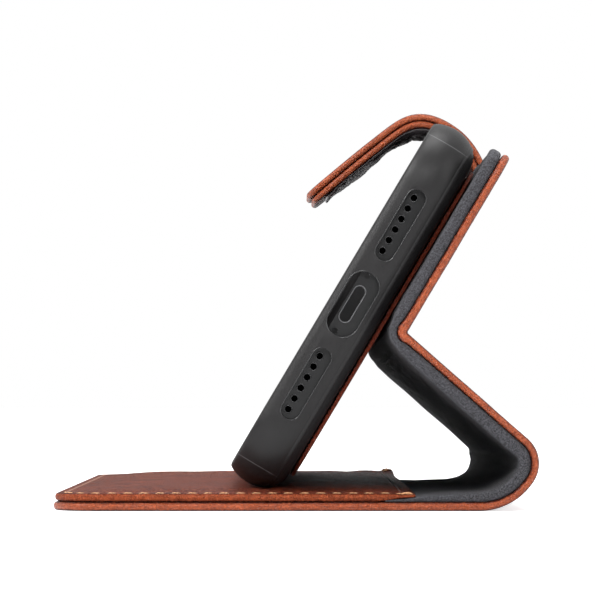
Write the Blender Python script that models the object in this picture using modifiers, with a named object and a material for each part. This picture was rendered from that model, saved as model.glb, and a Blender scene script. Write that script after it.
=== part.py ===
"""Folding phone wallet case with a lift-off phone shell, standing as a desk stand.

The front cover lies flat on the table, the soft spine bends up at the right,
the lower half of the back leans up to a fold and the upper half carries the
phone shell, whose lower long edge rests on the card pocket.  A closing strap
arches from the free edge of the back over the shell.

Frame: +X to the spine, +Y along the spine away from the shell's connector end,
+Z up, origin at the middle of the footprint on the table.  Metres.
"""
import math

import bmesh
import bpy
from mathutils import Matrix, Vector

MM = 0.001
GAP = 0.25                     # clearance kept between touching pieces
LINING_GAP = 0.45              # half clearance between linings at a crease

# ---- driving dimensions, in millimetres -----------------------------------
HALF_WIDTH = 79.0              # half of the wallet's length along the spine
COVER_LEFT = -47.2             # free edge of the front cover
BEND_START = 35.2              # where the spine starts to rise
R_LOW, TURN_LOW = 12.6, 56.3   # lower, wide part of the spine bend
R_HIGH = 6.3                   # upper, tight part of the spine bend
SLOPE = 138.6                  # direction of the lower back, degrees from +X
SLOPE_LENGTH = 31.5            # straight run of the lower back up to the fold
FOLD_DEPTH = 0.95              # fold axis inside the leather's outer face
TILT = 59.2                    # lean of the upper back and the shell, degrees
COVER_CORNER = 9.0
BACK_CORNER = 5.0

LEATHER_COVER = 1.65
LEATHER_BEND = 1.45
LEATHER_UPPER = 1.6
LINING_COVER = 1.3
LINING_BEND = 2.1
LINING_LOWER = 2.45
LINING_UPPER = 2.3
BOARD = 0.8

POCKET_RIGHT = 23.0            # mouth of the card pocket
POCKET_BOTTOM, POCKET_TOP = 1.92, 3.5

BACK_END = 40.2                # free edge of the upper back, along the lean
BACK_START = 0.55

SHELL_CENTRE = (7.1, 42.1)     # middle of the shell's front rim plane
SHELL_HALF_W, SHELL_HALF_L = 40.3, 77.7
SHELL_THICK = 10.8
SHELL_CORNER = 14.0
WALL = 1.3
LINER_GAP, LINER_WALL = 0.25, 0.65
BAY_FLOOR = 9.65               # depth of the tray floor below the front rim
BACK_LEATHER = 0.8

STRAP_WIDTH = 27.0
STRAP_LEATHER = 1.35
STRAP_LINING = 0.3
STRAP_RUN = [(40.5, 69.3), (39.8, 71.2), (38.7, 73.4), (37.3, 75.5), (35.5, 77.5),
             (33.3, 79.2), (30.8, 80.6), (28.1, 81.5), (25.3, 81.6), (22.8, 80.9),
             (20.2, 79.4), (16.0, 76.2), (11.5, 72.6), (6.8, 68.7), (2.0, 64.7)]
STRAP_SPLIT = 8                # point of STRAP_RUN where the tab starts

CAMERA_WINDOW = (20.0, 56.0, 30.0)    # across, along, size
# ----------------------------------------------------------------------------

for item in list(bpy.data.objects):
    bpy.data.objects.remove(item, do_unlink=True)

parts = bpy.data.collections.new("phone_wallet_case")
cutters = bpy.data.collections.new("cutters")
bpy.context.scene.collection.children.link(parts)
bpy.context.scene.collection.children.link(cutters)


def rad(degrees):
    return math.radians(degrees)


# ---- materials -------------------------------------------------------------
def material(name, rgb, roughness, metallic=0.0):
    mat = bpy.data.materials.new(name)
    mat.use_nodes = True
    shader = mat.node_tree.nodes["Principled BSDF"]
    shader.inputs["Base Color"].default_value = (*rgb, 1.0)
    shader.inputs["Roughness"].default_value = roughness
    shader.inputs["Metallic"].default_value = metallic
    mat.diffuse_color = (*rgb, 1.0)
    return mat


LEATHER = material("cognac_leather", (0.43, 0.093, 0.034), 0.42)
LEATHER_IN = material("pocket_leather", (0.38, 0.08, 0.03), 0.40)
LINING = material("charcoal_microfibre", (0.030, 0.029, 0.031), 0.95)
SHELL = material("matte_charcoal_shell", (0.045, 0.043, 0.044), 0.55)
LINER = material("black_liner", (0.012, 0.012, 0.013), 0.45)
BUTTON = material("button_plastic", (0.035, 0.034, 0.035), 0.4)
STEEL = material("steel_plate", (0.55, 0.55, 0.56), 0.35, 1.0)
MAGNET = material("magnet_nickel", (0.62, 0.60, 0.57), 0.3, 1.0)
BOARD_MAT = material("grey_board", (0.30, 0.28, 0.25), 0.9)
STRAP_IN = material("strap_lining", (0.03, 0.026, 0.026), 0.35)


# ---- frames and joints' empties --------------------------------------------
def frame(name, x, z, turn=0.0):
    """An empty on a fold line; turn is its lean about +Y, counter-clockwise as
    seen with +X to the right."""
    empty = bpy.data.objects.new(name, None)
    empty.empty_display_size = 0.01
    matrix = Matrix.Translation((x * MM, 0.0, z * MM)) @ Matrix.Rotation(-rad(turn), 4, "Y")
    empty.matrix_world = matrix
    parts.objects.link(empty)
    return empty, matrix


def hang(obj, holder):
    """Parent obj to an empty and leave it where it is."""
    if holder is not None:
        empty, matrix = holder
        obj.parent = empty
        obj.matrix_parent_inverse = matrix.inverted()


def link(name, mesh, mat, holder, group=None):
    obj = bpy.data.objects.new(name, mesh)
    mesh.materials.clear()
    mesh.materials.append(mat)
    (group or parts).objects.link(obj)
    hang(obj, holder)
    return obj


def soften(obj, width, segments=2, angle=50.0):
    mod = obj.modifiers.new("soft_edges", "BEVEL")
    mod.width = width * MM
    mod.segments = segments
    mod.limit_method = "ANGLE"
    mod.angle_limit = rad(angle)
    mod.use_clamp_overlap = True


def smooth(obj, angle=35.0):
    obj.data.shade_smooth()
    obj.data.set_sharp_from_angle(angle=rad(angle))


def cut(obj, cutter):
    mod = obj.modifiers.new("cut_" + cutter.name, "BOOLEAN")
    mod.operation = "DIFFERENCE"
    mod.solver = "EXACT"
    mod.object = cutter


def as_cutter(obj):
    for group in list(obj.users_collection):
        group.objects.unlink(obj)
    cutters.objects.link(obj)
    obj.hide_render = True
    obj.display_type = "WIRE"
    return obj


# ---- the running line of the case, seen from its end -----------------------
ARC_LOW = R_LOW * rad(TURN_LOW)
ARC_HIGH = R_HIGH * rad(SLOPE - TURN_LOW)
RUN_END = ARC_LOW + ARC_HIGH + SLOPE_LENGTH


def running_line(s):
    """Outer face of the case at distance s from the start of the bend:
    x, z and direction in degrees."""
    if s <= 0.0:
        return BEND_START + s, 0.0, 0.0
    if s <= ARC_LOW:
        turn = s / R_LOW
        return BEND_START + R_LOW * math.sin(turn), R_LOW * (1 - math.cos(turn)), math.degrees(turn)
    x1 = BEND_START + R_LOW * math.sin(rad(TURN_LOW))
    z1 = R_LOW * (1 - math.cos(rad(TURN_LOW)))
    cx = x1 - R_HIGH * math.sin(rad(TURN_LOW))
    cz = z1 + R_HIGH * math.cos(rad(TURN_LOW))
    turn = min(s - ARC_LOW, ARC_HIGH) / R_HIGH + rad(TURN_LOW)
    x = cx + R_HIGH * math.sin(turn)
    z = cz - R_HIGH * math.cos(turn)
    rest = max(0.0, s - ARC_LOW - ARC_HIGH)
    return x + rest * math.cos(rad(SLOPE)), z + rest * math.sin(rad(SLOPE)), math.degrees(turn)


def steps(start, end, pitch):
    count = max(1, int(math.ceil((end - start) / pitch)))
    return [start + (end - start) * i / count for i in range(count + 1)]


def case_run(start, end):
    """Distances from start to end: close in the bend, far apart on the flats."""
    marks = [start]
    for low, high, pitch in ((start, 0.0, 90.0), (0.0, ARC_LOW + ARC_HIGH, 1.35),
                             (ARC_LOW + ARC_HIGH, end, 40.0)):
        low, high = max(low, start), min(high, end)
        if high - low > 0.05:
            marks += steps(low, high, pitch)[1:]
    return marks


def corner_marks(radius, count=0):
    count = count or (4 if radius > 6.0 else 3)
    return [radius * (1 - math.cos(rad(90.0) * i / count)) for i in range(count + 1)]


def half_at(distance, half, radius):
    if distance >= radius:
        return half
    return half - radius + math.sqrt(max(0.0, radius * radius - (radius - distance) ** 2))


def sheet(name, stations, offset, thickness, mat, holder, edge=0.4):
    """A layer of the case: stations are (x, z, direction, half width) along its
    run, the layer starts at offset from that line, to the left of it, and is
    thickness deep.  An open surface with Solidify."""
    grid = bmesh.new()
    rows = []
    for x, z, direction, half in stations:
        nx, nz = -math.sin(rad(direction)), math.cos(rad(direction))
        place = ((x + offset * nx) * MM, (z + offset * nz) * MM)
        rows.append([grid.verts.new((place[0], y * MM, place[1])) for y in (-half, half)])
    for a, b in zip(rows, rows[1:]):
        grid.faces.new((a[0], b[0], b[1], a[1]))
    mesh = bpy.data.meshes.new(name)
    grid.to_mesh(mesh)
    grid.free()
    obj = link(name, mesh, mat, holder)
    mod = obj.modifiers.new("thickness", "SOLIDIFY")
    mod.thickness = thickness * MM
    mod.offset = 1.0
    mod.use_even_offset = True
    mod.use_rim = True
    if edge:
        soften(obj, edge)
    smooth(obj)
    return obj


def case_stations(start, end, half=HALF_WIDTH, free_start=0.0, trim=0.0):
    marks = case_run(start, end)
    if free_start:
        marks = [start + m for m in corner_marks(free_start)] + [m for m in marks if m > start + free_start + 0.1]
    out = []
    for s in marks:
        x, z, direction = running_line(s)
        wide = half_at(s - start, half, free_start) if free_start else half
        out.append((x, z, direction, wide - trim))
    return out


def line_stations(x0, z0, direction, start, end, half=HALF_WIDTH, free_end=0.0):
    """A straight run from start to end along direction, from (x0, z0)."""
    marks = [start, end]
    if free_end:
        marks = [start] + [end - m for m in reversed(corner_marks(free_end))]
    out = []
    for s in marks:
        wide = half_at(end - s, half, free_end) if free_end else half
        out.append((x0 + s * math.cos(rad(direction)), z0 + s * math.sin(rad(direction)), direction, wide))
    return out


# ---- flat outlines ---------------------------------------------------------
def rounded(a, b, radius, count=6):
    """Outline of a rounded rectangle of half sizes a and b, counter-clockwise."""
    points = []
    for cx, cy, begin in ((a - radius, b - radius, 0), (-a + radius, b - radius, 90),
                          (-a + radius, -b + radius, 180), (a - radius, -b + radius, 270)):
        for i in range(count + 1):
            turn = rad(begin + 90.0 * i / count)
            points.append((cx + radius * math.cos(turn), cy + radius * math.sin(turn)))
    return points


def plate(name, outline, thickness, matrix, mat, holder):
    """A flat outline with an even thickness, centred on its own plane."""
    curve = bpy.data.curves.new(name + "_outline", "CURVE")
    curve.dimensions = "2D"
    curve.fill_mode = "BOTH"
    curve.extrude = thickness * 0.5 * MM
    spline = curve.splines.new("POLY")
    spline.points.add(len(outline) - 1)
    for point, (x, y) in zip(spline.points, outline):
        point.co = (x * MM, y * MM, 0.0, 1.0)
    spline.use_cyclic_u = True
    shape = bpy.data.objects.new(name + "_shape", curve)
    bpy.context.scene.collection.objects.link(shape)
    evaluated = shape.evaluated_get(bpy.context.evaluated_depsgraph_get())
    mesh = bpy.data.meshes.new_from_object(evaluated)
    mesh.name = name
    bpy.data.objects.remove(shape, do_unlink=True)
    shell = bmesh.new()
    shell.from_mesh(mesh)
    bmesh.ops.remove_doubles(shell, verts=shell.verts, dist=0.00001)
    bmesh.ops.recalc_face_normals(shell, faces=shell.faces)
    shell.to_mesh(mesh)
    shell.free()
    obj = link(name, mesh, mat, None)
    obj.matrix_world = matrix
    if holder is not None:
        obj.parent = holder[0]
        obj.matrix_parent_inverse = holder[1].inverted()
    smooth(obj)
    return obj


def cylinder(name, radius, depth, matrix, mat, holder, sides=24):
    mesh = bpy.data.meshes.new(name)
    form = bmesh.new()
    bmesh.ops.create_cone(form, cap_ends=True, segments=sides, radius1=radius * MM,
                          radius2=radius * MM, depth=depth * MM)
    form.to_mesh(mesh)
    form.free()
    obj = link(name, mesh, mat, holder)
    obj.matrix_world = matrix
    smooth(obj)
    return obj


def move(x, y, z):
    return Matrix.Translation((x * MM, y * MM, z * MM))


# ---- fold lines ------------------------------------------------------------
S_COVER = ARC_LOW * 0.5                       # crease between cover and spine
S_BACK = ARC_LOW + ARC_HIGH * 0.5             # crease between spine and back
crease_a = running_line(S_COVER)
crease_b = running_line(S_BACK)
fold = running_line(RUN_END)

cover_root = frame("cover_root", 0.0, 0.0)
spine_hold = frame("spine_hold", crease_a[0], crease_a[1])
lower_hold = frame("lower_back_hold", crease_b[0], crease_b[1])
upper_hold = frame("upper_back_hold", fold[0] - FOLD_DEPTH * math.sin(rad(SLOPE)),
                   fold[1] + FOLD_DEPTH * math.cos(rad(SLOPE)))
shell_hold = frame("shell_hold", SHELL_CENTRE[0], SHELL_CENTRE[1], TILT)
LEAN = shell_hold[1]

split = STRAP_RUN[STRAP_SPLIT]
strap_hold = frame("strap_hold", STRAP_RUN[0][0], STRAP_RUN[0][1])
tab_hold = frame("strap_tab_hold", split[0], split[1])

LOWER = Matrix.Translation((fold[0] * MM, 0.0, fold[1] * MM)) @ Matrix.Rotation(rad(180.0 - SLOPE), 4, "Y")

# ---- front cover -----------------------------------------------------------
cover_start = COVER_LEFT - BEND_START
leather = sheet("front_cover_leather",
                case_stations(cover_start, S_COVER - GAP / 2, free_start=COVER_CORNER),
                0.0, LEATHER_COVER, LEATHER, cover_root, edge=0.6)
board_half = (31.0, 70.0)
board_mid = -10.0
recess = plate("board_recess", rounded(board_half[0] + 0.4, board_half[1] + 0.4, 6.0), 2.0,
               move(board_mid, 0, 0.75 + 1.0), LEATHER, None)
cut(leather, as_cutter(recess))
board = plate("front_cover_board", rounded(board_half[0], board_half[1], 5.6), 0.55,
              move(board_mid, 0, 1.05 + 0.275), BOARD_MAT, cover_root)
plate_hole = as_cutter(cylinder("closure_hole", 9.4, 3.0, move(-26.0, 0, 1.3), STEEL, None, 32))
cut(board, plate_hole)
cylinder("closure_plate", 9.0, 0.5, move(-26.0, 0, 1.33), STEEL, cover_root, 32)

pocket_run = []
for m in corner_marks(COVER_CORNER - 0.3):
    pocket_run.append((COVER_LEFT + 0.3 + m, POCKET_BOTTOM, 0.0, half_at(m, HALF_WIDTH - 0.3, COVER_CORNER - 0.3)))
pocket_run.append((POCKET_RIGHT, POCKET_BOTTOM, 0.0, HALF_WIDTH - 0.3))
sheet("pocket_panel", pocket_run, 0.0, POCKET_TOP - POCKET_BOTTOM, LEATHER_IN, cover_root, edge=0.5)

sheet("cover_lining", case_stations(POCKET_RIGHT + 0.4 - BEND_START, S_COVER - LINING_GAP, half=HALF_WIDTH - 0.4),
      LEATHER_COVER + GAP, LINING_COVER, LINING, cover_root, edge=0.45)

# ---- spine -----------------------------------------------------------------
sheet("spine_leather", case_stations(S_COVER + GAP / 2, S_BACK - GAP / 2),
      0.0, LEATHER_BEND, LEATHER, spine_hold, edge=0.35)
sheet("spine_lining", case_stations(S_COVER + LINING_GAP, S_BACK - LINING_GAP, half=HALF_WIDTH - 0.4),
      LEATHER_COVER + GAP, LINING_BEND - 0.25, LINING, spine_hold, edge=0.35)

# ---- lower back ------------------------------------------------------------
sheet("lower_back_leather", case_stations(S_BACK + GAP / 2, RUN_END - GAP / 2),
      0.0, LEATHER_BEND, LEATHER, lower_hold, edge=0.35)
lower_lining = sheet("lower_back_lining",
                     case_stations(S_BACK + LINING_GAP, RUN_END - GAP / 2, half=HALF_WIDTH - 0.4),
                     LEATHER_BEND + GAP, LINING_LOWER, LINING, lower_hold, edge=0.5)
lower_mid = 15.6
lower_half = (12.5, 72.0)
pocket = plate("lower_recess", rounded(lower_half[0] + 0.4, lower_half[1] + 0.4, 3.0), 2.0,
               LOWER @ move(lower_mid, 0, -LEATHER_BEND - GAP - 1.35 + 1.0), LINING, None)
cut(lower_lining, as_cutter(pocket))
lower_board = plate("lower_back_board", rounded(lower_half[0], lower_half[1], 2.6), BOARD,
                    LOWER @ move(lower_mid, 0, -LEATHER_BEND - GAP - 0.25 - BOARD / 2), BOARD_MAT, lower_hold)
for label, y in (("near", -38.0), ("far", 38.0)):
    spot = LOWER @ move(lower_mid, y, -LEATHER_BEND - GAP - 0.25 - BOARD / 2)
    cut(lower_board, as_cutter(cylinder("lower_magnet_hole_" + label, 8.35, 3.0, spot, MAGNET, None, 32)))
    cylinder("lower_magnet_" + label, 8.0, BOARD, spot, MAGNET, lower_hold, 32)

# ---- upper back ------------------------------------------------------------
depth_outer = SHELL_THICK + GAP + BACK_LEATHER + GAP + LINING_UPPER + GAP + LEATHER_UPPER
back_x = SHELL_CENTRE[0] + depth_outer * math.sin(rad(TILT))
back_z = SHELL_CENTRE[1] - depth_outer * math.cos(rad(TILT))
upper_leather = sheet("upper_back_leather",
                      line_stations(back_x, back_z, TILT, BACK_START, BACK_END, free_end=BACK_CORNER),
                      0.0, LEATHER_UPPER, LEATHER, upper_hold, edge=0.6)
upper_lining = sheet("upper_back_lining",
                     line_stations(back_x, back_z, TILT, BACK_START, BACK_END - 0.1,
                                   half=HALF_WIDTH - 0.4, free_end=BACK_CORNER),
                     LEATHER_UPPER + GAP, LINING_UPPER, LINING, upper_hold, edge=0.6)
cx, cy, size = CAMERA_WINDOW
window = as_cutter(plate("back_window", rounded(size / 2 + 1.0, size / 2 + 1.0, 8.0), 12.0,
                         LEAN @ move(cx, cy, -depth_outer + 2.0), LINING, None))
cut(upper_leather, window)
cut(upper_lining, window)
upper_mid_y = -20.5
upper_half = (16.5, 52.0)
upper_recess_z = -depth_outer + LEATHER_UPPER + GAP
recess = plate("upper_recess", rounded(upper_half[0] + 0.4, upper_half[1] + 0.4, 3.0), 2.0,
               LEAN @ move(20.3, upper_mid_y, upper_recess_z + 1.3 - 1.0), LINING, None)
cut(upper_lining, as_cutter(recess))
upper_board = plate("upper_back_board", rounded(upper_half[0], upper_half[1], 2.6), BOARD,
                    LEAN @ move(20.3, upper_mid_y, upper_recess_z + 0.2 + BOARD / 2), BOARD_MAT, upper_hold)
for label, y in (("near", -52.0), ("mid", 8.0)):
    spot = LEAN @ move(20.3, y, upper_recess_z + 0.2 + BOARD / 2)
    cut(upper_board, as_cutter(cylinder("upper_magnet_hole_" + label, 9.35, 3.0, spot, MAGNET, None, 32)))
    cylinder("upper_magnet_" + label, 9.0, BOARD, spot, MAGNET, upper_hold, 32)


# ---- closing strap ---------------------------------------------------------
def curve_through(points, per_span):
    """Points on a smooth curve through the given points, and its direction."""
    ends = [(2 * points[0][0] - points[1][0], 2 * points[0][1] - points[1][1])] + list(points) + \
           [(2 * points[-1][0] - points[-2][0], 2 * points[-1][1] - points[-2][1])]
    out = []
    for i in range(1, len(ends) - 2):
        p0, p1, p2, p3 = (Vector(ends[i + k]) for k in (-1, 0, 1, 2))
        last = i == len(ends) - 3
        for k in range(per_span + (1 if last else 0)):
            t = k / per_span
            place = 0.5 * ((2 * p1) + (p2 - p0) * t + (2 * p0 - 5 * p1 + 4 * p2 - p3) * t * t
                           + (3 * p1 - p0 - 3 * p2 + p3) * t ** 3)
            slope = 0.5 * ((p2 - p0) + 2 * (2 * p0 - 5 * p1 + 4 * p2 - p3) * t
                           + 3 * (3 * p1 - p0 - 3 * p2 + p3) * t * t)
            out.append((place.x, place.y, math.degrees(math.atan2(slope.y, slope.x)) % 360.0))
    return out


strap = curve_through(STRAP_RUN, 2)
cut_at = STRAP_SPLIT * 2
half_strap = STRAP_WIDTH / 2


def shift(station, distance):
    x, z, direction = station
    return (x + distance * math.cos(rad(direction)), z + distance * math.sin(rad(direction)), direction)


def strap_stations(run, half, clear_start, clear_end, free_end=0.0):
    run = [shift(run[0], clear_start)] + list(run[1:-1]) + [shift(run[-1], -clear_end)]
    lengths = [0.0]
    for a, b in zip(run, run[1:]):
        lengths.append(lengths[-1] + math.hypot(b[0] - a[0], b[1] - a[1]))
    total = lengths[-1]
    out = []
    if not free_end:
        return [(x, z, d, half) for x, z, d in run]
    for (x, z, d), at in zip(run, lengths):
        if total - at > free_end + 0.3:
            out.append((x, z, d, half))
    ex, ez, ed = run[-1]
    for m in reversed(corner_marks(free_end)):
        out.append((ex - m * math.cos(rad(ed)), ez - m * math.sin(rad(ed)), ed, half_at(m, half, free_end)))
    return out


root_run, tab_run = strap[:cut_at + 1], strap[cut_at:]
inner = STRAP_LEATHER + GAP
below = as_cutter(plate("below_back_edge", rounded(6.0, 30.0, 1.0), 16.0,
                        LEAN @ move(BACK_END + 0.3 - 6.0, 0, -12.0), LEATHER, None))
root_outer = sheet("strap_root_outer", strap_stations(root_run, half_strap, -2.2, GAP / 2),
                   0.0, STRAP_LEATHER, LEATHER, strap_hold, edge=0.45)
root_inner = sheet("strap_root_inner", strap_stations(root_run, half_strap, -4.4, 0.3),
                   inner, STRAP_LEATHER, LEATHER, strap_hold, edge=0.45)
cut(root_outer, below)
cut(root_inner, below)
sheet("strap_tab_outer", strap_stations(tab_run, half_strap, GAP / 2, 0.0, 5.0),
      0.0, STRAP_LEATHER, LEATHER, tab_hold, edge=0.45)
tab_inner = sheet("strap_tab_inner", strap_stations(tab_run, half_strap, 0.3, 0.1, 5.0),
                  inner, STRAP_LEATHER, LEATHER, tab_hold, edge=0.45)
sheet("strap_tab_lining", strap_stations(tab_run, half_strap - 0.8, 0.5, 1.0, 4.5),
      inner + STRAP_LEATHER + GAP, STRAP_LINING, STRAP_IN, tab_hold, edge=0.0)
mx, mz, md = strap[-8]
magnet_frame = Matrix.Translation((mx * MM, 0, mz * MM)) @ Matrix.Rotation(-rad(md), 4, "Y")
cut(tab_inner, as_cutter(cylinder("strap_magnet_hole", 5.8, 2.0, magnet_frame @ move(0, 0, inner), MAGNET, None, 28)))
cylinder("strap_magnet", 5.5, 0.5, magnet_frame @ move(0, 0, inner + 0.52), MAGNET, tab_hold, 28)


# ---- phone shell -----------------------------------------------------------
def ring_loft(name, sections, mat, holder, matrix, per_corner=7):
    """A tray wall lofted through rounded-rectangle sections (half width, half
    length, corner radius, height), capped at the first and the last one."""
    form = bmesh.new()
    rings = []
    for a, b, radius, z in sections:
        rings.append([form.verts.new((x * MM, y * MM, z * MM)) for x, y in rounded(a, b, radius, per_corner)])
    for low, high in zip(rings, rings[1:]):
        count = len(low)
        for i in range(count):
            j = (i + 1) % count
            form.faces.new((low[i], low[j], high[j], high[i]))
    form.faces.new(list(reversed(rings[0])))
    form.faces.new(rings[-1])
    bmesh.ops.recalc_face_normals(form, faces=form.faces)
    mesh = bpy.data.meshes.new(name)
    form.to_mesh(mesh)
    form.free()
    obj = link(name, mesh, mat, None)
    obj.matrix_world = matrix
    obj.parent = holder[0]
    obj.matrix_parent_inverse = holder[1].inverted()
    smooth(obj, 30.0)
    return obj


def section(inset, z):
    """Rounded rectangle inset from the shell's widest outline."""
    return (SHELL_HALF_W - inset, SHELL_HALF_L - inset, max(2.0, SHELL_CORNER - inset), -z)


tray = ring_loft("shell_tray", [
    section(WALL + 1.2, BAY_FLOOR), section(WALL, BAY_FLOOR - 0.9),
    section(WALL, 2.7), section(WALL + 0.35, 1.7), section(WALL + 1.0, 0.6), section(WALL + 1.25, 0.15),
    section(1.75, 0.0), section(1.2, 0.2), section(0.62, 1.2), section(0.22, 2.5), section(0.02, 3.8),
    section(0.0, 4.8), section(0.15, 6.0), section(0.65, 7.5), section(1.45, 8.8), section(2.5, 9.8),
    section(3.9, 10.5), section(5.6, SHELL_THICK)], SHELL, shell_hold, LEAN)
liner_out = WALL + LINER_GAP
liner_in = liner_out + LINER_WALL


def liner_outline(inset):
    return rounded(SHELL_HALF_W - inset, SHELL_HALF_L - inset, SHELL_CORNER - inset, 7)


liner = plate("shell_liner", liner_outline(liner_out), 6.0, LEAN @ move(0, 0, -5.75), LINER, shell_hold)
bay = as_cutter(plate("phone_bay", liner_outline(liner_in), 12.0, LEAN @ move(0, 0, -5.75), LINER, None))
cut(liner, bay)

END = -SHELL_HALF_L
UPRIGHT = Matrix.Rotation(rad(90.0), 4, "X")


def end_slot(name, across, height, u, z, reach=(2.0, 1.2), count=8):
    """A cutter for a stadium-shaped slot through the connector end wall."""
    length = reach[0] + reach[1]
    place = LEAN @ move(u, END + (reach[1] - reach[0]) / 2, -z) @ UPRIGHT
    return as_cutter(plate(name, rounded(across / 2, height / 2, height / 2 - 0.01, count), length, place, SHELL, None))


for label, u in (("lower", -17.8), ("upper", 17.8)):
    cut(tray, end_slot("speaker_slot_" + label, 15.5, 3.75, u, 4.6, (2.0, 1.55)))
cut(tray, end_slot("connector_slot", 13.8, 6.2, 0.0, 4.5, (2.0, 1.55)))
cut(liner, end_slot("connector_opening", 7.6, 2.1, 0.0, 4.4, (0.5, 4.0)))

holes = bmesh.new()
for centre in (-17.8, 17.8):
    for k in range(6):
        place = move(centre + 2.38 * (k - 2.5), END + 2.0, -4.1) @ UPRIGHT
        bmesh.ops.create_cone(holes, cap_ends=True, segments=14, radius1=0.62 * MM, radius2=0.62 * MM,
                              depth=4.5 * MM, matrix=place)
for u in (-6.1, 6.1):
    bmesh.ops.create_cone(holes, cap_ends=True, segments=14, radius1=0.6 * MM, radius2=0.6 * MM,
                          depth=4.5 * MM, matrix=move(u, END + 2.0, -4.1) @ UPRIGHT)
hole_mesh = bpy.data.meshes.new("speaker_holes")
holes.to_mesh(hole_mesh)
holes.free()
speaker_holes = link("speaker_holes", hole_mesh, LINER, None)
speaker_holes.matrix_world = LEAN
cut(liner, as_cutter(speaker_holes))

SIDEWAYS = Matrix.Rotation(rad(90.0), 4, "Y") @ Matrix.Rotation(rad(90.0), 4, "Z")


def side_slot(name, side, along, height, y, z, deep, mat=SHELL, group=None, centre=None, thick=None):
    """A stadium outline standing in the long side wall; side is +1 or -1."""
    middle = side * (SHELL_HALF_W - 1.2) if centre is None else centre
    place = LEAN @ move(middle, y, -z) @ SIDEWAYS
    return plate(name, rounded(along / 2, height / 2, height / 2 - 0.01, 6), deep if thick is None else thick,
                 place, mat, group)


for name, side, y, along in (("power_button", 1, 30.0, 12.0), ("volume_up_button", -1, 34.0, 10.5),
                             ("volume_down_button", -1, 20.0, 10.5)):
    slot = as_cutter(side_slot(name + "_slot", side, along + 0.7, 3.5, y, 4.6, 5.0))
    cut(tray, slot)
    cut(liner, slot)
    empty = frame(name + "_hold",
                  SHELL_CENTRE[0] + side * SHELL_HALF_W * math.cos(rad(TILT)) + 4.6 * math.sin(rad(TILT)),
                  SHELL_CENTRE[1] + side * SHELL_HALF_W * math.sin(rad(TILT)) - 4.6 * math.cos(rad(TILT)), TILT)
    button = side_slot(name, side, along, 2.8, y, 4.6, 0, BUTTON, empty,
                       centre=side * (SHELL_HALF_W - 0.75), thick=2.3)
    soften(button, 0.3, 2)
slot = as_cutter(side_slot("mute_slot", -1, 8.0, 4.4, 49.0, 4.6, 5.0))
cut(tray, slot)
cut(liner, slot)

plate_recess = as_cutter(plate("plate_recess", rounded(31.4, 33.4, 4.0), 1.4,
                               LEAN @ move(0, -14.0, -BAY_FLOOR - 0.65 + 0.7), STEEL, None))
cut(tray, plate_recess)
plate("shell_steel_plate", rounded(31.0, 33.0, 3.6), 0.35, LEAN @ move(0, -14.0, -BAY_FLOOR - 0.05 - 0.175),
      STEEL, shell_hold)
shell_window = as_cutter(plate("shell_window", rounded(size / 2, size / 2, 7.5), 8.0,
                               LEAN @ move(cx, cy, -BAY_FLOOR - 1.0), SHELL, None))
cut(tray, shell_window)
floor_pad = plate("shell_floor_pad", rounded(SHELL_HALF_W - liner_in - 0.3, SHELL_HALF_L - liner_in - 0.3, 11.0), 0.3,
                  LEAN @ move(0, 0, -BAY_FLOOR + 0.4), LINING, shell_hold)
cut(floor_pad, shell_window)
back_leather = plate("shell_leather_back", rounded(SHELL_HALF_W - 5.6, SHELL_HALF_L - 5.6, 8.6), BACK_LEATHER,
                     LEAN @ move(0, 0, -SHELL_THICK - GAP - BACK_LEATHER / 2), LEATHER, shell_hold)
cut(back_leather, shell_window)
ring = plate("camera_ring", rounded(size / 2 - 0.3, size / 2 - 0.3, 7.2), 2.1,
             LEAN @ move(cx, cy, -BAY_FLOOR - 1.15), BUTTON, shell_hold)
cut(ring, as_cutter(plate("ring_hole", rounded(size / 2 - 1.4, size / 2 - 1.4, 6.1), 6.0,
                          LEAN @ move(cx, cy, -BAY_FLOOR - 1.15), BUTTON, None)))
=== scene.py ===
"""Looks of the folding phone wallet case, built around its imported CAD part."""
import math

import bmesh
import bpy
import numpy as np
from mathutils import Matrix, Vector, noise


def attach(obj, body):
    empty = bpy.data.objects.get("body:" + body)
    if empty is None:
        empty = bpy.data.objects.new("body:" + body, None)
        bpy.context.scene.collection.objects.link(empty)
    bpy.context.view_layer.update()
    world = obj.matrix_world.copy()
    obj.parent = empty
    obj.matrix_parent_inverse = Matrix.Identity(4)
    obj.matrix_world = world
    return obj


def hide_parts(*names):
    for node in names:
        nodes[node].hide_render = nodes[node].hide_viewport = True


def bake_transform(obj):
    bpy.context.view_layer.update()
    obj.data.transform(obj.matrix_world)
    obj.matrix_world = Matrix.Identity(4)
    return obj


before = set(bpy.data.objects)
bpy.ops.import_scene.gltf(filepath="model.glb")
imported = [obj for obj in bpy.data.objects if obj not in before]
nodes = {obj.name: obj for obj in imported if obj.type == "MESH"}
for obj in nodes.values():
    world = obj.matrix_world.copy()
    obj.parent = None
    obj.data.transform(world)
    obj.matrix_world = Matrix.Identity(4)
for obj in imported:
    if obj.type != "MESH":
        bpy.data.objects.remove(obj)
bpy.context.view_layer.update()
scene = bpy.context.scene
MM = 0.001


def rad(d):
    return math.radians(d)


# ---- the same driving dimensions as the CAD, millimetres -------------------
HALF = 79.0
COVER_LEFT, BEND_START = -47.2, 35.2
R_LOW, TURN_LOW, R_HIGH, SLOPE, SLOPE_LENGTH = 12.6, 56.3, 6.3, 138.6, 31.5
TILT = 59.2
ARC_LOW = R_LOW * rad(TURN_LOW)
ARC_HIGH = R_HIGH * rad(SLOPE - TURN_LOW)
RUN_END = ARC_LOW + ARC_HIGH + SLOPE_LENGTH
SHELL_CENTRE = (7.1, 42.1)
DEPTH_OUTER = 16.25
LEAN = Matrix.Translation((SHELL_CENTRE[0] * MM, 0, SHELL_CENTRE[1] * MM)) @ Matrix.Rotation(-rad(TILT), 4, "Y")


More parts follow.
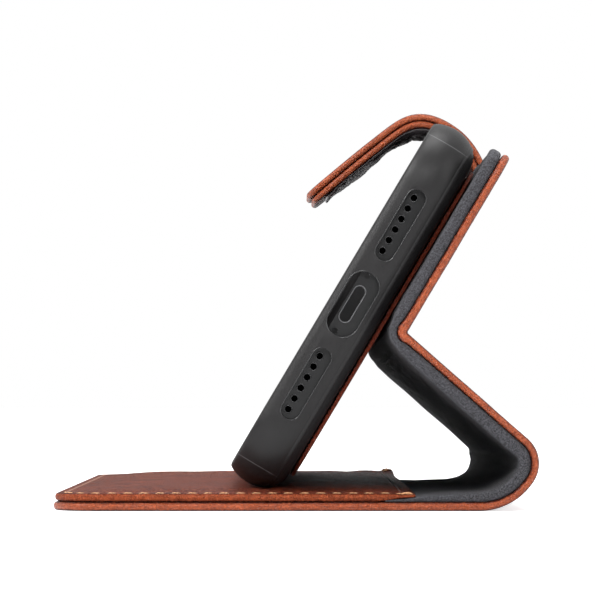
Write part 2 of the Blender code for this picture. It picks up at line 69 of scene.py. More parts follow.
def running_line(s):
    if s <= 0.0:
        return BEND_START + s, 0.0, 0.0
    if s <= ARC_LOW:
        t = s / R_LOW
        return BEND_START + R_LOW * math.sin(t), R_LOW * (1 - math.cos(t)), math.degrees(t)
    x1 = BEND_START + R_LOW * math.sin(rad(TURN_LOW))
    z1 = R_LOW * (1 - math.cos(rad(TURN_LOW)))
    cx, cz = x1 - R_HIGH * math.sin(rad(TURN_LOW)), z1 + R_HIGH * math.cos(rad(TURN_LOW))
    t = min(s - ARC_LOW, ARC_HIGH) / R_HIGH + rad(TURN_LOW)
    rest = max(0.0, s - ARC_LOW - ARC_HIGH)
    return (cx + R_HIGH * math.sin(t) + rest * math.cos(rad(SLOPE)),
            cz - R_HIGH * math.cos(t) + rest * math.sin(rad(SLOPE)), math.degrees(t))


FOLD_R = 0.40                                  # radius of the notch at the fold, outer face
NOTCH_BACK, NOTCH_UP = 0.529, 0.6207           # where the two outer faces meet
TANGENT = FOLD_R * math.tan(rad((SLOPE - TILT) / 2))
S_FOLD = RUN_END - NOTCH_BACK - TANGENT
FOLD_ARC = FOLD_R * rad(SLOPE - TILT)
U_START = NOTCH_UP + TANGENT
S_END = S_FOLD + FOLD_ARC + 40.2 - U_START
U_SHIFT = S_FOLD + FOLD_ARC - U_START          # s = u + U_SHIFT on the upper back


def case_line(s):
    """Outer face of the whole case, round the bend, the fold and up the back."""
    if s <= S_FOLD:
        return running_line(s)
    x0, z0, d0 = running_line(S_FOLD)
    cx, cz = x0 + FOLD_R * math.sin(rad(d0)), z0 - FOLD_R * math.cos(rad(d0))
    turn = min(s - S_FOLD, FOLD_ARC) / FOLD_R
    d = rad(d0) - turn
    x, z = cx - FOLD_R * math.sin(d), cz + FOLD_R * math.cos(d)
    rest = max(0.0, s - S_FOLD - FOLD_ARC)
    return x + rest * math.cos(d), z + rest * math.sin(d), math.degrees(d)


class Line:
    """A run sampled finely, so whole meshes can be laid along it at once."""

    def __init__(self, fn, start, end, fine=()):
        marks = list(np.arange(start, end, 0.1)) + [end]
        for a, b, p in fine:
            marks += list(np.arange(a, b, p))
        self.s = np.array(sorted(set(round(float(m), 5) for m in marks)))
        pts = np.array([fn(float(s)) for s in self.s])
        self.x, self.z, self.d = pts[:, 0], pts[:, 1], np.unwrap(np.radians(pts[:, 2]))

    def at(self, s, n):
        x, z, d = (np.interp(s, self.s, v) for v in (self.x, self.z, self.d))
        over, under = np.maximum(0, s - self.s[-1]), np.minimum(0, s - self.s[0])
        x, z = x + (over + under) * np.cos(d), z + (over + under) * np.sin(d)
        return x - n * np.sin(d), z + n * np.cos(d)

    def texture_run(self, n):
        """Arc length at offset n, so a grain laid by it is not stretched."""
        x, z = self.at(self.s, n)
        step = np.concatenate([[0.0], np.cumsum(np.hypot(np.diff(x), np.diff(z)))])
        return lambda s: np.interp(s, self.s, step)


CASE = Line(case_line, COVER_LEFT - BEND_START - 1, S_END + 1, [(S_FOLD - 0.2, S_FOLD + FOLD_ARC + 0.2, 0.01)])


def keyed(pairs):
    xs, ys = zip(*pairs)
    return lambda s: np.interp(s, xs, ys)


def ease(t):
    t = np.clip(t, 0, 1)
    return t * t * (3 - 2 * t)


# thickness of the leather and height of the lining's two faces, along the run
LEATHER_TOP = keyed([(-90, 1.65), (-1, 1.65), (5, 1.5), (18, 1.45), (46, 1.45), (S_FOLD - 1.2, 1.6),
                     (S_FOLD, 1.95), (S_FOLD + FOLD_ARC, 2.0), (S_FOLD + FOLD_ARC + 1.6, 1.75),
                     (S_FOLD + FOLD_ARC + 4.5, 1.6), (95, 1.6)])
LINING_LOW = lambda s: LEATHER_TOP(s) + 0.10
LINING_TOP = keyed([(-18.2, 2.15), (-14.5, 2.4), (-12.4, 2.5), (-11.2, 2.95), (-8.5, 3.2), (-2, 3.35), (6, 3.85), (14, 3.95),
                    (24, 4.05), (46, 4.1), (S_FOLD - 1.5, 4.0), (S_FOLD, 3.7), (S_FOLD + FOLD_ARC, 3.7),
                    (S_FOLD + FOLD_ARC + 2.0, 4.0), (S_FOLD + FOLD_ARC + 5, 4.1), (95, 4.1)])


# ---- flat work: pads cut flat, then laid along a run -----------------------
def outline(x0, x1, y0, y1, r_left, r_right, q, count=12):
    pts = []
    for cx, cy, begin, sx, sy, r in (
            (x1, y1, 0, 1, 1, r_right), (x0, y1, 90, -1, 1, r_left), (x0, y0, 180, -1, -1, r_left),
            (x1, y0, 270, 1, -1, r_right)):
        rr = max(0.02, r - q)
        mx, my = cx - sx * (q + rr), cy - sy * (q + rr)
        for i in range(count + 1):
            a = rad(begin + 90.0 * i / count)
            pts.append((mx + rr * math.cos(a), my + rr * math.sin(a)))
    return pts


def inset_of(x, y, x0, x1, half, r_left, r_right):
    """Distance in from the outline, vectorised."""
    mid, span = (x0 + x1) / 2, (x1 - x0) / 2
    r = np.where(x < mid, r_left, r_right)
    qx, qy = np.abs(x - mid) - (span - r), np.abs(y) - (half - r)
    out = np.hypot(np.maximum(qx, 0), np.maximum(qy, 0)) + np.minimum(np.maximum(qx, qy), 0) - r
    return -out


def pad(x0, x1, half, r_left, r_right, thick, edge, cuts_x, cuts_y, groove=(), groove_low=False, count=12):
    """A flat pad with rounded edges, (x, y, n) in millimetres, n from 0 to thick.
    groove is (inset, half width, depth) of a stitching channel in the top."""
    prof = []
    channel = []
    for g, w, depth in groove:
        channel += [(g + w * k, depth * f) for k, f in ((-1.0, 0), (-0.6, 0.45), (-0.2, 1), (0.2, 1), (0.6, 0.45), (1.0, 0))]
    inner = max([edge + 0.6] + [c[0] + 0.5 for c in channel])
    low = [(q, d) for q, d in channel] if groove_low else []
    prof.append((inner, 0.0))
    prof += [(q, d) for q, d in reversed(low)]
    steps = 6
    for i in range(steps + 1):
        a = -90 + 90.0 * i / steps
        prof.append((edge - edge * math.cos(rad(a)), edge + edge * math.sin(rad(a))))
    for i in range(0 if 2 * edge < thick - 0.02 else 1, steps + 1):
        a = 90.0 * i / steps
        prof.append((edge - edge * math.cos(rad(a)), thick - edge + edge * math.sin(rad(a))))
    prof += [(q, thick - d) for q, d in channel]
    prof.append((inner, thick))
    bm = bmesh.new()
    rings = [[bm.verts.new((x, y, n)) for x, y in outline(x0, x1, -half, half, r_left, r_right, q, count)] for q, n in prof]
    for a, b in zip(rings, rings[1:]):
        for i in range(len(a)):
            j = (i + 1) % len(a)
            bm.faces.new((a[i], a[j], b[j], b[i]))
    bm.faces.new(list(reversed(rings[0])))
    bm.faces.new(rings[-1])
    for axis, marks in ((0, cuts_x), (1, cuts_y)):
        no = (1, 0, 0) if axis == 0 else (0, 1, 0)
        for m in marks:
            co = (m, 0, 0) if axis == 0 else (0, m, 0)
            bmesh.ops.bisect_plane(bm, geom=bm.verts[:] + bm.edges[:] + bm.faces[:], dist=1e-5, plane_co=co, plane_no=no)
    bmesh.ops.recalc_face_normals(bm, faces=bm.faces)
    return bm


def part_of(bm, low, high):
    """A copy of the flat pad between two marks, open at the cuts."""
    new = bm.copy()
    for m, sign in ((low, -1), (high, 1)):
        if m is not None:
            bmesh.ops.bisect_plane(new, geom=new.verts[:] + new.edges[:] + new.faces[:], dist=1e-5,
                                   plane_co=(m, 0, 0), plane_no=(sign, 0, 0), clear_outer=True)
    return new


def to_mesh(name, bm):
    mesh = bpy.data.meshes.new(name)
    bm.to_mesh(mesh)
    bm.free()
    return mesh


def coords(mesh):
    co = np.empty(len(mesh.vertices) * 3)
    mesh.vertices.foreach_get("co", co)
    return co.reshape(-1, 3)


def finish_mesh(mesh, world_mm, flat, rim, mat, smooth_angle=40):
    mesh.vertices.foreach_set("co", (world_mm * MM).astype(np.float32).ravel())
    a = mesh.attributes.new("flat", "FLOAT_VECTOR", "POINT")
    a.data.foreach_set("vector", flat.astype(np.float32).ravel())
    b = mesh.attributes.new("rim", "FLOAT", "POINT")
    b.data.foreach_set("value", rim.astype(np.float32).ravel())
    mesh.materials.clear()
    mesh.materials.append(mat)
    mesh.shade_smooth()
    if smooth_angle:
        mesh.set_sharp_from_angle(angle=rad(smooth_angle))
    mesh.update()


def add(name, mesh, parent=None):
    obj = bpy.data.objects.new(name, mesh)
    scene.collection.objects.link(obj)
    return obj


def span(a, b, pitch):
    n = max(1, int(math.ceil(abs(b - a) / pitch)))
    return [a + (b - a) * i / n for i in range(n + 1)]


def boolean(obj, cutter, operation="DIFFERENCE"):
    mod = obj.modifiers.new("cut", "BOOLEAN")
    mod.operation, mod.solver, mod.object = operation, "EXACT", cutter
    return mod


def apply(obj):
    deps = bpy.context.evaluated_depsgraph_get()
    mesh = bpy.data.meshes.new_from_object(obj.evaluated_get(deps))
    obj.modifiers.clear()
    obj.data = mesh
    return mesh


def drop(*objs):
    for o in objs:
        bpy.data.objects.remove(o, do_unlink=True)


# ---- materials -------------------------------------------------------------
class Tree:
    def __init__(self, name):
        self.mat = bpy.data.materials.new(name)
        self.mat.use_nodes = True
        self.t = self.mat.node_tree
        self.shader = self.t.nodes["Principled BSDF"]

    def node(self, kind, **values):
        n = self.t.nodes.new(kind)
        for k, v in values.items():
            if hasattr(n, k) and not k[0].isupper():
                setattr(n, k, v)
            else:
                n.inputs[k.replace("_", " ")].default_value = v
        return n

    def link(self, a, b):
        self.t.links.new(a, b)

    def flat(self):
        n = self.node("ShaderNodeAttribute")
        n.attribute_name = "flat"
        return n.outputs["Vector"]

    def rim(self):
        n = self.node("ShaderNodeAttribute")
        n.attribute_name = "rim"
        return n.outputs["Fac"]

    def scaled(self, vector, scale):
        n = self.node("ShaderNodeVectorMath", operation="MULTIPLY")
        n.inputs[1].default_value = scale if isinstance(scale, tuple) else (scale,) * 3
        self.link(vector, n.inputs[0])
        return n.outputs[0]

    def noise(self, vector, scale, detail=3.0, rough=0.55, warp=0.0):
        n = self.node("ShaderNodeTexNoise")
        n.inputs["Scale"].default_value = scale
        n.inputs["Detail"].default_value = detail
        n.inputs["Roughness"].default_value = rough
        n.inputs["Distortion"].default_value = warp
        self.link(vector, n.inputs["Vector"])
        return n.outputs["Fac"]

    def cells(self, vector, scale, feature="DISTANCE_TO_EDGE", smooth=None):
        n = self.node("ShaderNodeTexVoronoi", feature=feature)
        n.inputs["Scale"].default_value = scale
        self.link(vector, n.inputs["Vector"])
        return n.outputs["Distance"]

    def ramp(self, fac, stops):
        n = self.node("ShaderNodeValToRGB")
        r = n.color_ramp
        while len(r.elements) < len(stops):
            r.elements.new(0.5)
        for e, (p, c) in zip(r.elements, stops):
            e.position = p
            e.color = (*c, 1.0) if isinstance(c, tuple) else (c, c, c, 1.0)
        self.link(fac, n.inputs["Fac"])
        return n.outputs["Color"]

    def math(self, op, a, b=0.0, clamp=False):
        n = self.node("ShaderNodeMath", operation=op)
        n.use_clamp = clamp
        for i, v in enumerate((a, b)):
            if isinstance(v, (int, float)):
                n.inputs[i].default_value = v
            else:
                self.link(v, n.inputs[i])
        return n.outputs[0]

    def band(self, value, a, b, lo=0.0, hi=1.0):
        n = self.node("ShaderNodeMapRange", interpolation_type="SMOOTHSTEP")
        for k, v in (("From Min", a), ("From Max", b), ("To Min", lo), ("To Max", hi)):
            n.inputs[k].default_value = v
        self.link(value, n.inputs["Value"])
        return n.outputs["Result"]

    def mix(self, fac, a, b, mode="MIX"):
        n = self.node("ShaderNodeMix", data_type="RGBA", blend_type=mode)
        for sock, v in ((n.inputs[0], fac), (n.inputs[6], a), (n.inputs[7], b)):
            if isinstance(v, (int, float)):
                sock.default_value = v
            elif isinstance(v, tuple):
                sock.default_value = (*v, 1.0)
            else:
                self.link(v, sock)
        return n.outputs[2]

    def bump(self, height, distance, strength=1.0, below=None):
        n = self.node("ShaderNodeBump")
        n.inputs["Strength"].default_value = strength
        n.inputs["Distance"].default_value = distance
        self.link(height, n.inputs["Height"])
        if below is not None:
            self.link(below, n.inputs["Normal"])
        return n.outputs["Normal"]

    def set(self, **values):
        for k, v in values.items():
            sock = self.shader.inputs[k.replace("_", " ")]
            if isinstance(v, (int, float)):
                sock.default_value = v
            elif isinstance(v, tuple):
                sock.default_value = (*v, 1.0) if len(v) == 3 and len(sock.default_value) == 4 else v
            else:
                self.link(v, sock)
        return self.mat


def leather(name, base, dark, light, rough=0.40, grain=1.0, edge_line=True, coat=0.12, spec=0.32):
    t = Tree(name)
    flat = t.flat()
    warp = t.node("ShaderNodeTexNoise")
    warp.inputs["Scale"].default_value = 1.1
    warp.inputs["Detail"].default_value = 2.0
    t.link(flat, warp.inputs["Vector"])
    bent = t.node("ShaderNodeVectorMath", operation="MULTIPLY_ADD")
    t.link(warp.outputs["Color"], bent.inputs[0])
    bent.inputs[1].default_value = (0.45, 0.45, 0.45)
    t.link(flat, bent.inputs[2])
    v = bent.outputs[0]
    pebble = t.band(t.cells(v, 1.30), 0.0, 0.34)
    small = t.band(t.cells(v, 2.9), 0.0, 0.30)
    fine = t.noise(flat, 5.0, 3.0)
    height = t.math("ADD", t.math("MULTIPLY", pebble, 0.62), t.math("MULTIPLY", small, 0.34))
    height = t.math("ADD", height, t.math("MULTIPLY", fine, 0.55))
    cloud = t.noise(flat, 0.055, 4.0, 0.6)
    mottle = t.noise(flat, 0.6, 3.0, 0.6)
    colour = t.mix(t.band(cloud, 0.35, 0.68), base, dark)
    colour = t.mix(t.band(mottle, 0.42, 0.72, 0.0, 0.55), colour, light)
    colour = t.mix(t.math("MULTIPLY", t.math("SUBTRACT", 1.0, pebble), 0.60), colour, tuple(c * 0.45 for c in dark))
    # painted highlight: the band along the rounded edges is mixed towards the light tone, standing in for light caught
    # on the rounding
    if edge_line:
        rim = t.rim()
        edge = t.band(rim, 0.05, 0.42, 1.0, 0.0)
        edge_noise = t.noise(t.scaled(flat, (0.35, 0.35, 2.2)), 1.2, 3.0)
        edge = t.math("MULTIPLY", edge, t.band(edge_noise, 0.3, 0.7, 0.45, 1.0))
        colour = t.mix(t.math("MULTIPLY", edge, 0.62), colour, tuple(min(1.0, c * 1.12) for c in light))
        line = t.math("MULTIPLY", t.band(rim, 0.22, 0.42), t.band(rim, 0.52, 0.80, 1.0, 0.0))
        colour = t.mix(t.math("MULTIPLY", line, 0.75), colour, tuple(c * 0.35 for c in dark))
        stitched = t.math("MULTIPLY", t.band(rim, 1.35, 1.85), t.band(rim, 2.15, 2.65, 1.0, 0.0))
        colour = t.mix(t.math("MULTIPLY", stitched, 0.40), colour, tuple(c * 0.5 for c in dark))
    # lighter specks over the grain: partly the leather's own tone, partly painted glints standing in for highlights on
    # the pebbles
    tone_and_glint_specks = t.band(t.noise(flat, 1.7, 4.0, 0.75), 0.50, 0.66)
    colour = t.mix(t.math("MULTIPLY", tone_and_glint_specks, 0.70), colour, light)
    normal = t.bump(height, 0.00036 * grain, 1.0)
    return t.set(Base_Color=colour, Roughness=t.band(height, 0.2, 1.1, rough + 0.12, rough - 0.05), Normal=normal,
                 Coat_Weight=coat, Coat_Roughness=0.25, Specular_IOR_Level=spec)


LEATHER = leather("cognac_leather", (0.245, 0.033, 0.0085), (0.110, 0.0115, 0.0035), (0.54, 0.115, 0.036), rough=0.33, coat=0.16)
POCKET = leather("pocket_leather", (0.205, 0.0265, 0.0075), (0.095, 0.0100, 0.0035), (0.50, 0.105, 0.034), rough=0.50, coat=0.0, grain=1.5, spec=0.20)
STRAP_L = leather("strap_leather", (0.250, 0.035, 0.0090), (0.115, 0.0125, 0.0038), (0.54, 0.12, 0.038), rough=0.34, coat=0.14, grain=0.7)
# painted shade: a much darker copy of the cognac leather for the shell's back panel, which lies in deep shade
SHELL_LEATHER_IN_SHADE = leather("shell_leather", (0.105, 0.0125, 0.0040), (0.055, 0.0060, 0.0025), (0.20, 0.030, 0.009), rough=0.45, coat=0.0)


def fuzz(name, base, light, streak=0.5, painted_edge_sheen=(0.105, 0.105, 0.118)):
    t = Tree(name)
    flat = t.flat()
    fibre = t.noise(flat, 7.0, 4.0, 0.7)
    nap = t.noise(t.scaled(flat, (1.2, 0.10, 1.0)), 1.1, 5.0, 0.65)
    cloud = t.noise(flat, 0.09, 3.0)
    colour = t.mix(t.band(nap, 0.35, 0.72, 0.0, streak), base, light)
    colour = t.mix(t.band(cloud, 0.4, 0.75, 0.0, 0.35), colour, tuple(c * 0.6 for c in base))
    # painted sheen: the band along the rounded edges is mixed towards a light grey with fibrous noise, standing in for
    # sheen caught on the rounding
    rim = t.rim()
    near = t.band(rim, 0.05, 1.00, 1.0, 0.0)
    colour = t.mix(t.math("MULTIPLY", near, t.band(t.noise(flat, 3.0, 5.0, 0.8), 0.38, 0.66, 0.08, 1.0)), colour, painted_edge_sheen)
    height = t.math("ADD", t.math("MULTIPLY", fibre, 0.7), t.math("MULTIPLY", nap, 0.35))
    return t.set(Base_Color=colour, Roughness=0.92, Sheen_Weight=0.22, Sheen_Roughness=0.45,
                 Sheen_Tint=(0.62, 0.63, 0.68), Specular_IOR_Level=0.25, Normal=t.bump(height, 0.00030, 1.0))


LINING = fuzz("charcoal_microfibre", (0.0120, 0.0108, 0.0112), (0.027, 0.025, 0.027), painted_edge_sheen=(0.105, 0.105, 0.118))


def shell_material():
    t = Tree("matte_charcoal_shell")
    flat = t.flat()
    grit = t.noise(flat, 6.0, 3.0, 0.6)
    cloud = t.noise(flat, 0.08, 3.0)
    colour = t.mix(t.band(cloud, 0.35, 0.7), (0.0125, 0.0118, 0.0122), (0.0165, 0.0157, 0.0161))
    axes = t.node("ShaderNodeSeparateXYZ")
    t.link(flat, axes.inputs[0])
    # a parting line across the end face near each corner; its light grey colour is a painted highlight along it
    off = t.math("ABSOLUTE", t.math("SUBTRACT", t.math("ABSOLUTE", axes.outputs["X"]), 36.2))
    parting_line_highlight = t.math("MULTIPLY", t.band(off, 0.03, 0.13, 1.0, 0.0), t.band(axes.outputs["Y"], -73.0, -70.0, 1.0, 0.0))
    parting_line_highlight = t.math("MULTIPLY", parting_line_highlight, t.band(axes.outputs["Z"], -9.6, -9.0))
    colour = t.mix(t.math("MULTIPLY", parting_line_highlight, 0.55), colour, (0.13, 0.13, 0.133))
    return t.set(Base_Color=colour, Roughness=t.band(grit, 0.3, 0.7, 0.40, 0.50), Specular_IOR_Level=0.30,
                 Normal=t.bump(grit, 0.00003, 0.6))


SHELL = shell_material()


def plain(name, rgb, rough, metallic=0.0, grain=0.0, scale=3.0, **more):
    t = Tree(name)
    if grain:
        g = t.noise(t.flat(), scale, 4.0, 0.6)
        t.set(Normal=t.bump(g, grain, 1.0))
    return t.set(Base_Color=rgb, Roughness=rough, Metallic=metallic, **more)


LINER = plain("black_liner", (0.009, 0.009, 0.0095), 0.32)
# painted shade: a near-black, non-reflective sheet for behind the sound holes, standing in for the shade inside them
HOLE_SHADE = plain("hole_shade_sheet", (0.0008, 0.0008, 0.0008), 0.95, Specular_IOR_Level=0.0)
BUTTON = plain("button_plastic", (0.030, 0.029, 0.030), 0.36)
STEEL = plain("steel_plate", (0.55, 0.55, 0.56), 0.32, 1.0)
MAGNET = plain("magnet_nickel", (0.62, 0.60, 0.57), 0.28, 1.0)
BOARD = plain("grey_board", (0.30, 0.28, 0.25), 0.9)
PAD = plain("bay_lining", (0.015, 0.014, 0.0147), 0.95, Specular_IOR_Level=0.15)
RIM_METAL = plain("hole_rim", (0.13, 0.13, 0.135), 0.30, 0.4)
RIM_DARK = plain("speaker_rim", (0.030, 0.030, 0.031), 0.22, 0.0)


def thread_material(name, rgb, dark):
    t = Tree(name)
    flat = t.flat()
    strand = t.noise(t.scaled(flat, (3.0, 3.0, 3.0)), 2.2, 3.0)
    colour = t.mix(t.band(strand, 0.35, 0.7), dark, rgb)
    return t.set(Base_Color=colour, Roughness=0.62, Sheen_Weight=0.25, Normal=t.bump(strand, 0.00004, 0.8))


THREAD = thread_material("cream_thread", (0.95, 0.58, 0.30), (0.60, 0.26, 0.10))
# painted shade: a darker copy of the cream thread, for rows that lie in half shade
THREAD_HALF_SHADE = thread_material("half_shaded_thread", (0.46, 0.19, 0.080), (0.20, 0.060, 0.024))
# painted shade: a much darker copy of the cream thread, for rows that lie in deep shade
THREAD_DEEP_SHADE = thread_material("deep_shaded_thread", (0.19, 0.055, 0.022), (0.09, 0.024, 0.010))


def crinkle_material():
    t = Tree("crinkled_lining")
    flat = t.flat()
    g = t.noise(t.scaled(flat, (1.0, 0.5, 1.0)), 2.4, 4.0, 0.7, 0.6)
    colour = t.mix(t.band(g, 0.35, 0.7), (0.012, 0.010, 0.011), (0.045, 0.037, 0.040))
    return t.set(Base_Color=colour, Roughness=0.30, Coat_Weight=0.4, Coat_Roughness=0.25, Normal=t.bump(g, 0.00018, 0.9))


CRINKLE = crinkle_material()

# ---- the case: leather and lining, laid along the run ----------------------
SEAM_1, SEAM_2 = 11.5, 37.0
X_CUTS = (span(-78.0, -2.0, 4.0) + span(-1.0, 22.0, 0.55) + span(23.0, S_FOLD - 3.0, 2.6)
          + span(S_FOLD - 2.4, S_FOLD, 0.4) + span(S_FOLD, S_FOLD + FOLD_ARC, 0.045)
          + span(S_FOLD + FOLD_ARC, S_FOLD + FOLD_ARC + 3.0, 0.4) + span(S_FOLD + FOLD_ARC + 4.0, S_END - 1.5, 3.0))
Y_CUTS = span(-74.0, 74.0, 6.0)
WINDOW_S = 20.0 + U_SHIFT


def window_cutter(half, radius, thick):
    bm = bmesh.new()
    pts = outline(WINDOW_S - half, WINDOW_S + half, 56.0 - half, 56.0 + half, radius, radius, 0.0, 8)
    low = [bm.verts.new((x, y, -3)) for x, y in pts]
    high = [bm.verts.new((x, y, thick + 3)) for x, y in pts]
    for i in range(len(pts)):
        j = (i + 1) % len(pts)
        bm.faces.new((low[i], low[j], high[j], high[i]))
    bm.faces.new(list(reversed(low)))
    bm.faces.new(high)
    return add("window_cutter", to_mesh("window_cutter", bm))


def flex(s, y, n):
    """How far the real case strays from a straight extrusion: its far end is
    squeezed in round the bend and down the slope, the faces are not quite even."""
    far = ease((y + 45.0) / 120.0)
    bend = ease((s - 2.0) / 16.0)
    slope = ease((s - 12.0) / 15.0)
    fade = 1 - ease((s - (S_FOLD + FOLD_ARC)) / 6.0)
    dx = -far * fade * bend * (2.2 - 1.40 * slope)
    dz = -far * fade * bend * (0.9 + 0.45 * slope)
    ripple = 0.10 * np.sin(y * 0.11 + s * 0.21) * np.sin(s * 0.17 + 1.3) + 0.07 * np.sin(y * 0.23 - s * 0.13)
    ripple = ripple + 0.05 * np.sin(s * 0.9 + 0.6 * np.sin(y * 0.4)) * np.sin(s * 0.37 + 2.0)
    ripple = ripple * ease((HALF + 4 - np.abs(y)) / 14.0) * ease((s + 0.5) / 6.0)
    return dx, dz, ripple


def lay_case(flat, low, high, thick, squeeze=False):
    s, y, n01 = flat[:, 0], flat[:, 1], flat[:, 2] / thick
    top = high(s)
    if squeeze:
        top = top - 1.3 * ease((y - 30.0) / 42.0) * (1 - ease((s - 6.0) / 12.0)) * ease((s + 16.0) / 8.0)
        top = top + 0.10 * np.sin(y * 0.19 + s * 0.31) * np.sin(s * 0.23 - y * 0.07)
    n = low(s) + n01 * (top - low(s))
    dx, dz, ripple = flex(s, y, n)
    x, z = CASE.at(s, n + ripple)
    return np.stack([x + dx, y, z + dz], 1), n


def case_layer(label, x0, x1, half, r_left, r_right, thick, edge, low, high, mat, slot, replaced, groove, window, seams=(SEAM_1, SEAM_2)):
    bm = pad(x0, x1, half, r_left, r_right, thick, edge, [c for c in X_CUTS if x0 + 1.2 < c < x1 - 1.2], Y_CUTS, groove, True)
    run = CASE.texture_run(float((low(np.array([20.0])) + high(np.array([20.0]))).item() / 2))
    made = []
    for k, (a, b) in enumerate(((None, seams[0]), (seams[0], seams[1]), (seams[1], None))):
        mesh = to_mesh(f"{label}_{'abc'[k]}", part_of(bm, a, b))
        obj = add(mesh.name, mesh)
        if k == 2 and window:
            cutter = window_cutter(window, window / 2, thick)
            boolean(obj, cutter)
            mesh = apply(obj)
            drop(cutter)
        flat = coords(mesh)
        world, n = lay_case(flat, low, high, thick, slot == "lining_charcoal")
        rim = inset_of(flat[:, 0], flat[:, 1], x0, x1, half, r_left, r_right)
        tex = np.stack([run(flat[:, 0]), flat[:, 1], n], 1)
        finish_mesh(mesh, world, tex, rim, mat)
        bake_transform(obj)
        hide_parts(*replaced[k])
        made.append(obj)
    bm.free()
    return made


LEFT = COVER_LEFT - BEND_START
case_layer("case_leather", LEFT, S_END, HALF, 9.0, 5.0, 1.6, 0.79, lambda s: 0.0 * s, LEATHER_TOP, LEATHER, "leather_cognac",
           (["front_cover_leather"], ["spine_leather"], ["lower_back_leather", "upper_back_leather"]),
           ((2.0, 0.55, 0.13),), 16.0)
case_layer("case_lining", -18.2, S_END - 0.15, HALF - 0.35, 0.6, 5.0, 2.3, 0.85, LINING_LOW, LINING_TOP, LINING, "lining_charcoal",
           (["cover_lining"], ["spine_lining"], ["lower_back_lining", "upper_back_lining"]), (), 16.0)

# ---- card pocket -----------------------------------------------------------
P_LEFT, P_RIGHT, P_HALF = COVER_LEFT + 0.3, 23.0, 78.7


def pocket_faces(x, y):
    lift = ease((x - 15.5) / 6.5)
    low = 1.78 + 0.78 * lift
    inside = np.clip(inset_of(x, y, P_LEFT, P_RIGHT + 6.0, P_HALF, 8.7, 2.0), 0, None)
    crown = 0.55 * ease((inside - 2.6) / 9.0) * (1 - 0.25 * ease((x - 5.0) / 20.0)) * (1 - ease((y - 66.0) / 9.0))
    crown = crown + (0.74 + 0.08 * np.sin(x * 0.31) + 0.05 * np.sin(x * 0.83 + 1.0)) * ease((y - 66.0) / 14.0) * ease((x + 44.0) / 16.0)
    cards = 0.16 * (ease((x + 30.0) / 2.0) - ease((x - 14.0) / 5.0)) * ease((71.0 - np.abs(y)) / 3.0)
    high = 3.38 + crown + cards
    high = high - 0.20 * ease((x - 17.0) / 5.0)
    far = ease((y - 60.0) / 17.0) * ease((x - 10.0) / 11.0)
    high, low = high + 0.28 * far, low + 0.4 * far
    wrinkle = 0.20 * far * np.sin(y * 1.3 + x * 0.9) + 0.05 * np.sin(y * 0.35 + 0.7 * np.sin(x * 0.2)) * ease((inside - 3) / 6)
    return low, high + wrinkle


def pocket_bow(x, y):
    """The mouth bows out a little in the middle of its length."""
    return 0.35 * ease((x - 12.0) / 11.0) * (1 - (y / P_HALF) ** 2)


bm = pad(P_LEFT, P_RIGHT, P_HALF, 8.7, 0.9, 1.6, 0.74, span(-44.0, 12.0, 4.0) + span(13.5, 22.0, 0.85), span(-74.5, 52.0, 4.0) + span(53.5, 77.0, 1.2),
         ((2.0, 0.55, 0.14),), False)
mesh = to_mesh("pocket_front", bm)
flat = coords(mesh)
low, high = pocket_faces(flat[:, 0], flat[:, 1])
z = low + flat[:, 2] / 1.6 * (high - low)
rim = inset_of(flat[:, 0], flat[:, 1], P_LEFT, P_RIGHT, P_HALF, 8.7, 0.9)
world = np.stack([flat[:, 0] + pocket_bow(flat[:, 0], flat[:, 1]), flat[:, 1], z], 1)
pocket = add("pocket_front", mesh)
finish_mesh(mesh, world, np.stack([flat[:, 0] + 200, flat[:, 1], z], 1), rim, POCKET)
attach(pocket, "front_cover")
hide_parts("pocket_panel")


# ---- stitching -------------------------------------------------------------
def walk(points, pitch, closed=False, skip=0.0):
    """(x, y, heading) each pitch along a line of points."""
    out, carry = [], skip
    for (x0, y0), (x1, y1) in zip(points, points[1:]):
        length = math.hypot(x1 - x0, y1 - y0)
        at = carry
        while at < length:
            t = at / length
            out.append((x0 + (x1 - x0) * t, y0 + (y1 - y0) * t, math.atan2(y1 - y0, x1 - x0)))
            at += pitch
        carry = at - length
    return out


def stitch_flat(places, length=2.35, ply=0.185, rise=0.17, turns=1.25, slant=0.09, seed=1):
    """Two-ply stitches, each a small twisted pair, as vertices (x, y, height)."""
    rng = np.random.default_rng(seed)
    seg, sides = 8, 6
    t = np.linspace(0, 1, seg + 1)
    prof = np.sin(np.pi * t) ** 0.45
    prof[0] = prof[-1] = 0.0
    around = np.linspace(0, 2 * np.pi, sides, endpoint=False)
    verts, faces = [], []
    for cx, cy, heading in places:
        heading = heading + slant + rng.normal(0, 0.03)
        size = 1 + rng.normal(0, 0.035)
        for strand in (0.0, math.pi):
            phi = 2 * np.pi * turns * t + strand
            px = (t - 0.5) * length * size
            py = 0.62 * ply * np.cos(phi) * prof
            pz = -0.16 + (rise + 0.16) * prof + 0.62 * ply * np.sin(phi) * prof
            r = ply * (0.45 + 0.55 * prof)
            base = len(verts)
            for i in range(seg + 1):
                for a in around:
                    lx, ly = px[i], py[i] + r[i] * math.cos(a)
                    verts.append((cx + lx * math.cos(heading) - ly * math.sin(heading),
                                  cy + lx * math.sin(heading) + ly * math.cos(heading), pz[i] + r[i] * math.sin(a)))
            for i in range(seg):
                for j in range(sides):
                    k = (j + 1) % sides
                    faces.append((base + i * sides + j, base + i * sides + k, base + (i + 1) * sides + k, base + (i + 1) * sides + j))
            faces.append(tuple(base + j for j in reversed(range(sides))))
            faces.append(tuple(base + seg * sides + j for j in range(sides)))
    return np.array(verts), faces


